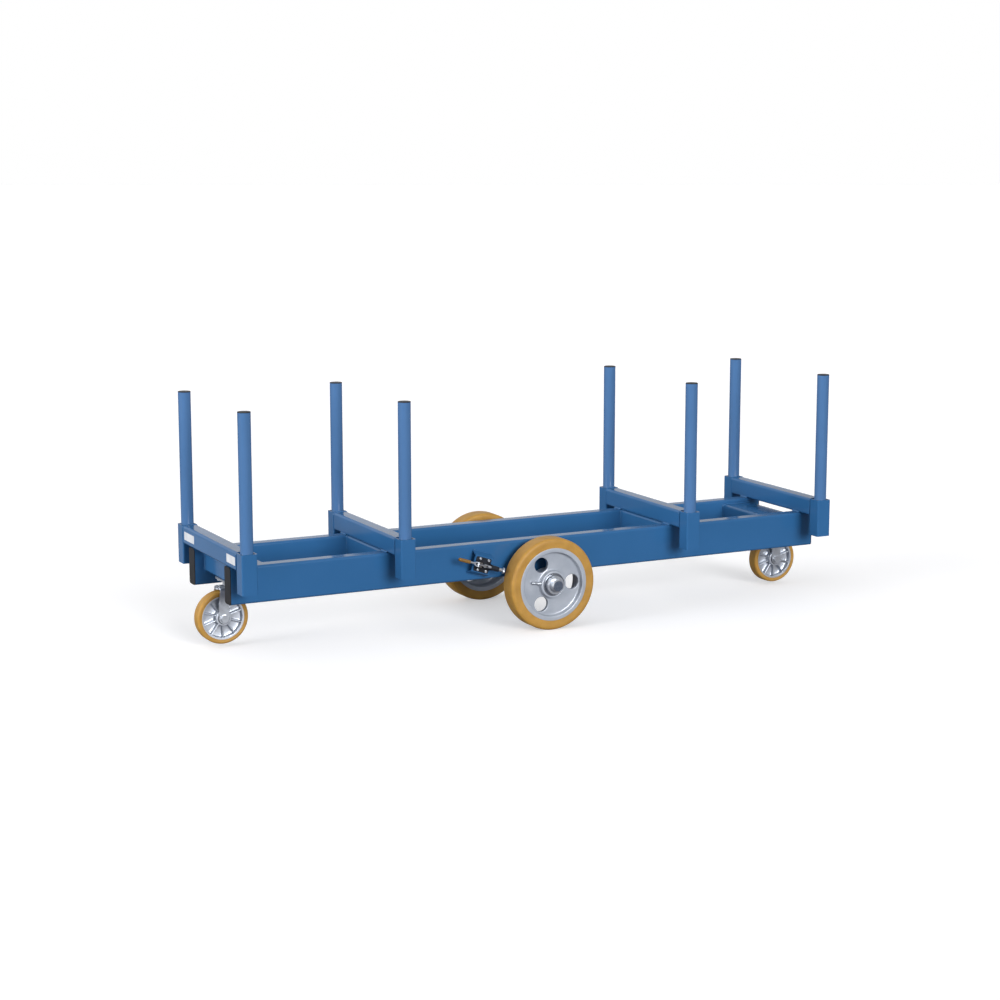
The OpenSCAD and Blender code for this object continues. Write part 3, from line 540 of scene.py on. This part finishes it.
# %% Tyres
def tyre_profile(inner, outer, width, shoulder, step):
    """Closed section: bore, side wall with a small step, rounded shoulder, tread, and back again.
    The step's foot is 45 % of the way out, 0.3 mm under the wall, and the bore's edge 1 mm."""
    half = width / 2
    foot = inner + 0.45 * (outer - inner)
    wall = [(inner, half - 1.0), (foot, half - 0.3), (foot + step, half), (outer, half)]
    back = [(r, -h) for r, h in wall[::-1]]
    radii = [1.5, 1.0, shoulder, shoulder, 1.0, 1.5]
    ring = rounded([*wall, *back], radii, steps=7)
    return np.vstack([ring, ring[:1]])


big_tread = tyre_profile(inner=142.55, outer=180.0, width=80.0, shoulder=11.5, step=2.0)
for side, outward in both_sides:
    grid = on_axle(turned(big_tread), wheel_centre[side], outward)
    tyre = make_piece(side + "_cast_tread", [grid], side + "_wheel", "amber_tread")
    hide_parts(side + "_wheel_tyre")

caster_centre = {side: span(side + "_caster_tyre").mean(0) / 1000 for side in ("left", "right")}
small_tread = tyre_profile(inner=83.55, outer=100.0, width=50.0, shoulder=8.0, step=1.0)
for side, centre in caster_centre.items():
    grid = on_axle(turned(small_tread, segments=120), centre, -1)
    tyre = make_piece(side + "_caster_tread", [grid], side + "_caster_wheel", "amber_tread")
    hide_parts(side + "_caster_tyre")
print("tyres made")

# %% [markdown]
# ## Grease nipple
#
# A nipple stands on each hub and points along the web. It is turned from bar, so its axis is simply
# laid along the wheel's radius, a little above level.

# %% Nipples
nipple_angle, nipple_height = math.radians(172), 33.0
nipple_profile = rounded([
    (0, 50), (8, 50), (8, 60), (5.2, 62), (4.6, 77), (6, 79), (6, 85.5), (2.8, 88.5), (2.8, 91.5),
    (0, 92.3)], [0.6, 0.8, 1.5, 1, 0.5, 0.8, 0.8, 0.7], steps=4)


def lay_along(grid, angle, height):
    """Turns a lathe's axis into the wheel's plane: the distance goes along the angle, and the
    circle stands across it, round a line at the given height."""
    across, rise, far = grid[..., 0], grid[..., 1], grid[..., 2]
    c, s = math.cos(angle), math.sin(angle)
    return np.stack([far * c - across * s, far * s + across * c, height + rise], -1)


nipple_grid = lay_along(turned(nipple_profile, segments=32), nipple_angle, nipple_height)
for side, outward in both_sides:
    grid = on_axle(nipple_grid, wheel_centre[side], outward)
    make_piece(side + "_grease_nipple", [grid], side + "_wheel", "zinc_plate")
print("nipple length:", nipple_profile[-1, 0], "to", nipple_profile[:, 1].max(), "mm from the axle")

# %% [markdown]
# ## Caster cores
#
# The caster wheels have pressure die-cast cores: a hub, a thin rim and ten ribs a side, with deep
# pockets between them. A pocket is a height over the wheel's plane. Rows follow the radius, with
# filleted walls at hub and rim, and columns run from a rib's middle, down its flank and over the
# floor, so that the flank stays parallel to its rib.


# %% Cores
def ribbed_core(ribs=10, rib_top=20.0, floor_height=4.0, floor_round=3.5):
    """Height = pocket height + (rib top - pocket height) * lift, and near a rib
    angle = asin(distance / radius). away holds distances from a rib's middle, with their lifts."""
    bore, hub, rim, edge, draft = 23.6, 30, 76, 83.5, 0.8
    hub_height, rim_height = 30, 23
    wall = rounded([
        (bore, hub_height), (hub, hub_height), (hub + draft, floor_height),
        (rim - draft, floor_height), (rim, rim_height), (edge, rim_height)],
        [1, floor_round, floor_round, 0.8])
    r, pocket = wall[:, :1], wall[:, 1:]
    away = np.array([0, 1.3, 2.0, 2.4, 2.7, 3.0, 3.5, 4.6])
    lift = np.array([1, 1, 0.97, 0.88, 0.25, 0.1, 0.03, 0])
    flank = np.arcsin(away / r)
    floor_share = np.linspace(0, 1, 6)[1:]
    open_floor = flank[:, -1:] + (np.pi / ribs - flank[:, -1:]) * floor_share
    half = np.hstack([flank, open_floor])
    raised = np.concatenate([lift, 0 * floor_share])
    tall = pocket + np.maximum(rib_top - pocket, 0) * raised
    pitch = 2 * np.pi / ribs
    one = np.hstack([half, pitch - half[:, -2::-1]])[:, :-1]
    height = np.hstack([tall, tall[:, -2::-1]])[:, :-1]
    turn = pitch * (np.arange(ribs) + 0.5)
    angle = (one[:, None, :] + turn[None, :, None]).reshape(len(r), -1)
    height = np.tile(height, (1, ribs))
    angle = np.hstack([angle, angle[:, :1] + 2 * np.pi])
    height = np.hstack([height, height[:, :1]])
    face = np.stack([r * np.cos(angle), r * np.sin(angle), height], -1)
    back = face[::-1] * [1, 1, -1]
    return np.concatenate([face, back, face[:1]])


core_grid = ribbed_core()
for side, centre in caster_centre.items():
    grid = on_axle(core_grid, centre, -1)
    core = make_piece(
        side + "_die_cast_core", [grid], side + "_caster_wheel", "cast_aluminium", smooth_below=50)
    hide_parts(side + "_caster_core")
print("core grid:", core_grid.shape)

# %% [markdown]
# ## Weld beads
#
# The frame is MIG welded. A bead is a rounded strip in the corner between two walls, with a ripple
# where each drop froze. Ripples are about 2 mm apart, drawn as 4 mm so that they show. The bead
# follows a path of points, each with the directions of the two walls it joins.


# %% Weld bead surface
def bead(path, wall_a, wall_b, leg, closed=False, pitch=4.0, rows_per_ripple=5, points_round=11):
    """From a path in millimetres to a grid in metres. The section is an ellipse, centred leg / 4
    out of the corner, with half axes of 0.62 leg across and 0.5 leg out, and a sine along the path
    ripples it by 6 %. An open run is pinched to a round tip at both ends."""
    path, wall_a, wall_b = np.broadcast_arrays(np.array(path, float), wall_a, wall_b)
    if closed:
        path, wall_a, wall_b = (np.vstack([x, x[:1]]) for x in (path, wall_a, wall_b))
    gone = np.append(0, np.cumsum(np.linalg.norm(np.diff(path, axis=0), axis=1)))
    along = np.linspace(0, gone[-1], max(12, int(gone[-1] / pitch * rows_per_ripple)))
    spot, side_a, side_b = (
        np.stack([np.interp(along, gone, x[:, k]) for k in range(3)], 1)
        for x in (path, wall_a, wall_b))
    out, across = side_a + side_b, side_a - side_b
    out = out / np.linalg.norm(out, axis=1, keepdims=True)
    across = across / np.linalg.norm(across, axis=1, keepdims=True)
    ripple = 1 + 0.06 * np.sin(2 * np.pi * along / pitch)
    end = np.clip((np.abs(along - gone[-1] / 2) - gone[-1] / 2 + leg) / leg, 0, 1)
    pinch = np.ones_like(along) if closed else np.sqrt(np.maximum(1 - end ** 2, 1e-4))
    turn = np.linspace(0, 2 * np.pi, points_round)
    size = (leg * ripple * pinch)[:, None, None]
    middle = (spot + out * leg * 0.25)[:, None]
    sideways = 0.62 * np.cos(turn)[:, None] * across[:, None]
    upwards = 0.5 * np.sin(turn)[:, None] * out[:, None]
    return (middle + size * (sideways + upwards)) / 1000


def outline(w, h, corner=10, steps=7):
    """A round-cornered oblong as points and outward normals: each corner's centre plus its radius
    times (cos, sin)."""
    angle = np.radians(np.concatenate([np.linspace(q, q + 90, steps) for q in (0, 90, 180, 270)]))
    normal = np.stack([np.cos(angle), np.sin(angle)], 1)
    quarter = np.repeat([[1, 1], [-1, 1], [-1, -1], [1, -1]], steps, axis=0)
    return quarter * [w / 2 - corner, h / 2 - corner] + corner * normal, normal


def loop_on_wall(x, z, y, size, inward, leg):
    """A closed bead round a tube's end where it meets a wall at y. inward points along the tube."""
    flat, normal = outline(*size)
    path = np.stack([x + flat[:, 0], np.full(len(flat), y), z + flat[:, 1]], 1)
    wall = np.stack([normal[:, 0], np.zeros(len(flat)), normal[:, 1]], 1)
    return bead(path, wall, np.array([0.0, inward, 0.0]), leg, closed=True)


print("beads can be laid")

# %% Places of the frame's welds
end_member_size, mid_member_size, crossbar_size = (140, 70), (60, 120), (60, 70)
bar_half, saddle_run, cap_start = 30.0, 80.0, 1265.0
(beam_inner, beam_under), (beam_outer, beam_top) = span("rear_beam")[:, 1:]
end_bar = span("end_crossbars")[1, 0] - bar_half
mid_bar = span("mid_crossbars")[1, 0] - bar_half
crossbar_end = span("end_crossbars")[1, 1]
end_member = span("end_cross_members")[1, 0] - end_member_size[0] / 2
crossbar_height = span("end_crossbars")[:, 2].mean()
end_member_height = span("end_cross_members")[:, 2].mean()
mid_member_height = span("mid_cross_members")[:, 2].mean()
print("crossbars at", mid_bar, "and", end_bar, "mm from the middle")

# %% Frame welds
runs = []
for face in (-1, 1):
    beam_wall = face * beam_inner
    for x in (-end_member, end_member):
        runs.append(loop_on_wall(x, end_member_height, beam_wall, end_member_size, -face, leg=5))
    for x in (-mid_bar, mid_bar):
        runs.append(loop_on_wall(x, mid_member_height, beam_wall, mid_member_size, -face, leg=5))
    for x in (-end_bar, -mid_bar, mid_bar, end_bar):
        socket_wall = face * crossbar_end
        runs.append(loop_on_wall(x, crossbar_height, socket_wall, crossbar_size, -face, leg=3.2))
        for edge in (-1, 1):
            seam = x + edge * (bar_half - 2)
            # The beams' ends are under plastic caps, which cover the outermost seam.
            if abs(seam) > cap_start:
                continue
            ends = [(seam, face * y, beam_top + 1) for y in (beam_inner + 3, beam_outer - 5)]
            sideways, up = np.array([edge, 0.0, 0.0]), np.array([0.0, 0.0, 1.0])
            runs.append(bead(ends, sideways, up, leg=8))
    for y, out in ((beam_inner - 1, -1), (beam_outer - 2, 1)):
        lean = np.array([0, face * out, 0.9]), np.array([0, face * out, -0.9])
        ends = [(x, face * y, beam_under) for x in (-saddle_run, saddle_run)]
        runs.append(bead(ends, *lean, leg=5))
frame_welds = make_piece("frame_welds", runs, "chassis", "blue_powder_coat", smooth_below=80)
print("weld runs:", len(runs), "faces:", len(frame_welds.data.polygons))

# %% [markdown]
# ## Brake brackets and grips
#
# The clamp lies along a line from its pivot to the axle, which falls 18.2 degrees. One function
# turns clamp measures (along, across, away from the beam) into the frame.


# %% Clamp place
clamp_slope, pivot_to_axle, rod_height = math.radians(18.2), 307.282, 22
clamp_face = span("brake_brackets")[1, 1]


def at_clamp(grid, outward):
    """(along, across, away) in millimetres to metres: a turn by the slope about the pivot, and a
    mirror image for the other side."""
    c, s = math.cos(clamp_slope), math.sin(clamp_slope)
    along, across, away = grid[..., 0], grid[..., 1], grid[..., 2]
    x = -pivot_to_axle * c + along * c + across * s
    z = axle_height + pivot_to_axle * s - along * s + across * c
    return np.stack([x, outward * (clamp_face + away), z], -1) / 1000


print("clamp face:", clamp_face, "mm from the middle")

# %% Bracket welds
run_start, run_end, run_across, beam_face = -13, 63, 46, -36
bracket_runs = []
for edge in (-1, 1):
    lean = np.array([0, edge, 0.0]), np.array([0, 0.0, 1.0])
    ends = [(along, edge * run_across, beam_face) for along in (run_start, run_end)]
    # A bead comes back in metres, and at_clamp takes millimetres.
    bracket_runs.append(bead(ends, *lean, leg=4) * 1000)
for side, outward in both_sides:
    grids = [at_clamp(g, outward) for g in bracket_runs]
    make_piece(side + "_bracket_welds", grids, "chassis", "blue_powder_coat", smooth_below=80)
print("bracket welds made")

# %% Grips
grip_start, grip_length, nose_length, rib_pitch = 42, 52, 6, 5.2
grip_bore, bore_depth, grip_lip = 4.05, 8.0, 5.4
grip_radius, belly, rib_depth = 6.4, 0.5, 0.28
along = np.linspace(0, grip_length, 105)
swell = grip_radius + belly * np.sin(np.pi * along / grip_length)
swell = swell + rib_depth * np.sin(2 * np.pi * along / rib_pitch)
nose = ((along - (grip_length - nose_length)) / nose_length).clip(0, 1)
grip_radii = np.append([grip_bore, grip_bore, grip_lip], (swell * np.sqrt(1 - nose ** 2))[1:])
grip_heights = np.append([bore_depth, 0.0, 0.0], along[1:])
lathe = turned(np.stack([grip_radii, grip_heights], 1), segments=40)
grip_grid = np.stack([-grip_start - lathe[..., 2], lathe[..., 0], rod_height + lathe[..., 1]], -1)
for side, outward in both_sides:
    grids = [at_clamp(grip_grid, outward)]
    grip = make_piece(side + "_ribbed_grip", grids, side + "_brake_lever", "amber_grip")
    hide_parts(side + "_brake_grip")
print("grip ribs every", rib_pitch, "mm")

# %% [markdown]
# ## Axle ends, set screws and shields
#
# The axle is turned bar: its ends are faced, centre drilled and widely chamfered, so a bright ring
# stands round a darker face. Each collar is held by a socket set screw, and each wheel bearing has
# a pressed shield between its races.

# %% Profiles at the axle's ends
stub_start, stub_end, axle_radius, face_radius, chamfer = 58.2, 77.3, 25.15, 20.4, 4.75
stub_profile = np.array([
    (face_radius, stub_end - 0.4), (face_radius, stub_end), (axle_radius, stub_end - chamfer),
    (axle_radius, stub_start), (face_radius, stub_start)])
# The centre drilling is a narrow pilot hole under a countersink.
pilot, countersink, face_sunk = 1.6, 5, 0.1
face_profile = np.array([
    (0, stub_end - 7), (pilot, stub_end - 5.5), (pilot, stub_end - 3.4),
    (countersink, stub_end - face_sunk), (face_radius, stub_end - face_sunk),
    (face_radius, stub_end - 1)])
shield_inner, shield_outer, shield_seam, shield_back, shield_front = 32.4, 40.2, 36, 38.2, 39.6
shield_profile = rounded([
    (shield_seam, shield_back), (shield_outer, shield_back), (shield_outer, shield_front),
    (shield_inner, shield_front), (shield_inner, shield_back), (shield_seam, shield_back)],
    [0.1, 0.6, 0.6, 0.1], steps=4)
screw_profile = np.array([
    (0, 34), (2.5, 34), (2.9, 36.4), (4.4, 36.4), (5, 35.8), (5, 30), (0, 30)])
screw_angle, collar_middle = math.radians(118), 50.5
print("axle end radius:", axle_radius, "mm")

# %% Axle ends, set screws and bearing shields
stub_grid = turned(stub_profile, segments=96)
face_grid = turned(face_profile, segments=96)
screw_grid = lay_along(turned(screw_profile, segments=24), screw_angle, collar_middle)
shield_grid = turned(shield_profile, segments=72)
for side, outward in both_sides:
    centre = wheel_centre[side]
    stub = [on_axle(stub_grid, centre, outward)]
    make_piece(side + "_axle_end", stub, "chassis", "zinc_plate", smooth_below=30)
    face = [on_axle(face_grid, centre, outward)]
    make_piece(side + "_axle_face", face, "chassis", "axle_steel", smooth_below=30)
    screw = [on_axle(screw_grid, centre, outward)]
    make_piece(side + "_collar_screw", screw, "chassis", "black_clamp", smooth_below=30)
    shields = [on_axle(g, centre, outward) for g in (shield_grid, shield_grid * [1, 1, -1])]
    make_piece(
        side + "_bearing_shields", shields, side + "_wheel", "bearing_steel", smooth_below=30)
print("axle dressed from", stub_start, "to", stub_end, "mm outside the wheel's middle")

# %% [markdown]
# ## Screw heads on the clamp
#
# Four button head screws hold each clamp, and a hexagon key turns them. The dome is turned, and the
# socket is a ring whose radius changes with the angle, so that one grid carries both.

# %% Screw heads
key_half, head_floor, head_seat, head_top = 2.0, 7.2, 6.9, 8.6
head_radius, dome_flat = 4.9, 3.0
screw_along, screw_across = (6.5, 43.5), (-21.75, 21.75)


def button_head(segments=48):
    """A turned dome, then its socket, whose radius is half the key's width over the cosine of the
    angle off the nearest flat's middle."""
    angle = np.linspace(0, 2 * np.pi, segments + 1)
    corners = [
        (0, head_seat), (head_radius, head_seat), (head_radius, head_top), (dome_flat, head_top)]
    dome = turned(rounded(corners, [0.2, 1.4]), segments)
    reach = key_half / np.cos(np.mod(angle, np.pi / 3) - np.pi / 6)
    size = np.array([1, 1, 0])[:, None] * reach
    height = np.array([head_top, head_floor, head_floor])[:, None] + 0 * reach
    socket = np.stack([size * np.cos(angle), size * np.sin(angle), height], -1)
    return np.concatenate([dome, socket])


head_grid = button_head()
for side, outward in both_sides:
    heads = [at_clamp(head_grid + [x, y, 0], outward) for x in screw_along for y in screw_across]
    make_piece(side + "_clamp_screw_heads", heads, "chassis", "zinc_plate", smooth_below=30)
print("socket:", 2 * key_half, "mm across flats")

# %% [markdown]
# ## Plunger threads
#
# The pad's stud carries a rolled M8 thread, so that the pad can be set. The crest follows a helix:
# the radius depends on how far a point lies along the stud, less its turn times the pitch.


# %% Threads
stud_start, stud_end, thread_pitch = 96.2, 100.8, 1.25


def thread(start, stop, pitch, root=4.02, crest=4.4, segments=40, rows_per_turn=10):
    """Radius = root + (crest - root) * a clipped triangle wave of along / pitch - turn, which
    fades out within one pitch of both ends."""
    along = np.linspace(start, stop, int((stop - start) / pitch * rows_per_turn))[:, None]
    angle = np.linspace(0, 2 * np.pi, segments + 1)[None, :]
    wave = np.mod(along / pitch - angle / (2 * np.pi), 1)
    height = np.clip(1.15 - np.abs(2 * wave - 1) * 1.3, 0, 1)
    fade = np.clip(np.minimum(along - start, stop - along) / pitch, 0, 1)
    radius = root + (crest - root) * height * fade
    across, away = radius * np.cos(angle), rod_height + radius * np.sin(angle)
    return np.stack([along + 0 * angle, across, away], -1)


thread_grid = thread(stud_start, stud_end, thread_pitch)
for side, outward in both_sides:
    stud = [at_clamp(thread_grid, outward)]
    make_piece(side + "_pad_thread", stud, side + "_brake_plunger", "zinc_plate", smooth_below=80)
print("thread turns:", round((stud_end - stud_start) / thread_pitch, 1))

# %% [markdown]
# ## Floor and light
#
# The cart stood on a grey workshop floor with a tall window before it and one on its left, and the
# floor was whitened afterwards. So the floor looks white to the camera, with a veil over its soft
# shadows, while the cart itself mirrors a grey one. A patch of window light is painted into that
# grey floor behind the left end, and the frame's left faces mirror this painted light. A low back
# wall is bright, so the tops of the tubes shine pale where they are seen at a grazing angle.

# %% Floor
floor_size = 600
bpy.ops.mesh.primitive_plane_add(size=floor_size, location=(0, 0, 0))
floor = bpy.context.object
floor.name = "studio_floor"
floor_material, floor_tree, floor_output = new_material("whitened_floor")
dull = add_node(floor_tree, "ShaderNodeBsdfDiffuse", {"Color": linear("#dedee0")})
veil = add_node(floor_tree, "ShaderNodeEmission", {"Color": (1, 1, 1, 1), "Strength": 0.38})
shown = add_node(floor_tree, "ShaderNodeAddShader", {0: dull.outputs[0], 1: veil.outputs[0]})
floor_place = add_node(floor_tree, "ShaderNodeTexCoord").outputs["Object"]


def painted_light_pool(centre, core, edge):
    """A patch of window light painted into the floor's colour: 1 within core metres of a centre,
    and smoothly down to 0 at edge metres."""
    away = add_node(
        floor_tree, "ShaderNodeVectorMath", {0: floor_place, 1: centre}, operation="DISTANCE")
    share = add_node(floor_tree, "ShaderNodeMapRange", {
        "Value": away.outputs["Value"], "From Min": core, "From Max": edge,
        "To Min": 1.0, "To Max": 0.0}, interpolation_type="SMOOTHSTEP")
    return share.outputs["Result"]


# Painted light: the mirrored floor is lightened round this spot behind the left end, and the
# frame's left faces reflect it.
painted_pool = painted_light_pool((-2.6, 1.7, 0.0), core=0.7, edge=2.0)
grey_floor_with_painted_pool = add_node(floor_tree, "ShaderNodeMix", {
    "Factor": painted_pool, 6: linear("#7c7c82"), 7: linear("#bebebe")}, data_type="RGBA")
mirrored = add_node(floor_tree, "ShaderNodeBsdfDiffuse", {"Color": grey_floor_with_painted_pool.outputs[2]})
floor_ray = add_node(floor_tree, "ShaderNodeLightPath").outputs["Is Camera Ray"]
floor_skin = add_node(floor_tree, "ShaderNodeMixShader", {
    0: floor_ray, 1: mirrored.outputs[0], 2: shown.outputs[0]})
floor_tree.links.new(floor_skin.outputs[0], floor_output.inputs["Surface"])
floor.data.materials.append(floor_material)
print("floor:", floor_size, "m wide")

# %% Light from the room
world = bpy.data.worlds.new("studio")
bpy.context.scene.world = world
world.use_nodes = True
sky = world.node_tree
sky.nodes.clear()
heading = add_node(sky, "ShaderNodeTexCoord").outputs["Generated"]


def soft_box(toward, edge, core, strength):
    """A bright field round a direction: strength times a smooth step of the cosine, from edge to
    core."""
    cosine = add_node(sky, "ShaderNodeVectorMath", {0: heading, 1: toward}, operation="DOT_PRODUCT")
    share = add_node(sky, "ShaderNodeMapRange", {
        "Value": cosine.outputs["Value"], "From Min": edge, "From Max": core,
        "To Min": 0.0, "To Max": strength}, interpolation_type="SMOOTHSTEP")
    return share.outputs["Result"]


ceiling = soft_box((0.0, 0.0, 1.0), edge=0.3, core=0.9, strength=0.24)
on_the_left = soft_box((-1.0, 0.0, 0.2), edge=0.3, core=0.9, strength=0.65)
back_wall = soft_box((0.05, 0.98, 0.17), edge=0.7, core=0.95, strength=0.65)
room = 0.24
sides = add_node(sky, "ShaderNodeMath", {0: ceiling, 1: on_the_left}, operation="ADD")
walls = add_node(sky, "ShaderNodeMath", {0: sides.outputs[0], 1: back_wall}, operation="ADD")
all_round = add_node(sky, "ShaderNodeMath", {0: walls.outputs[0], 1: room}, operation="ADD")
lit = add_node(
    sky, "ShaderNodeBackground", {"Color": (1, 1, 1, 1), "Strength": all_round.outputs[0]})
seen = add_node(sky, "ShaderNodeBackground", {"Color": (1, 1, 1, 1), "Strength": 1.0})
ray = add_node(sky, "ShaderNodeLightPath").outputs["Is Camera Ray"]
both = add_node(sky, "ShaderNodeMixShader", {0: ray, 1: lit.outputs[0], 2: seen.outputs[0]})
add_node(sky, "ShaderNodeOutputWorld", {"Surface": both.outputs[0]})
print("light from all sides:", room)


# %% Windows
def soft_sun(name, toward_sun, spread_degrees, strength):
    """Even light from a far window. The spread is how wide the window looks, so it sets how soft
    the shadows are."""
    lamp = bpy.data.lights.new(name, "SUN")
    lamp.energy, lamp.angle = strength, math.radians(spread_degrees)
    holder = bpy.data.objects.new(name, lamp)
    x, y, z = toward_sun
    holder.rotation_euler = (math.atan2(math.hypot(x, y), z), 0, math.atan2(x, -y))
    bpy.context.scene.collection.objects.link(holder)


soft_sun("window_in_front", (0.06, -1.00, 0.28), spread_degrees=26, strength=2.9)
soft_sun("window_on_the_left", (-1.00, -0.05, 0.16), spread_degrees=28, strength=2.4)
panel = bpy.data.lights.new("panel_on_the_left", "AREA")
panel.shape, panel.size, panel.size_y, panel.energy = "RECTANGLE", 1.2, 2.2, 4.0
panel_stand = bpy.data.objects.new("panel_on_the_left", panel)
panel_stand.location = (-3.8, 0.1, 1.1)
panel_stand.rotation_euler = (0, math.radians(-90), 0)
bpy.context.scene.collection.objects.link(panel_stand)
bpy.context.scene.view_settings.view_transform = "Standard"
print("studio ready")
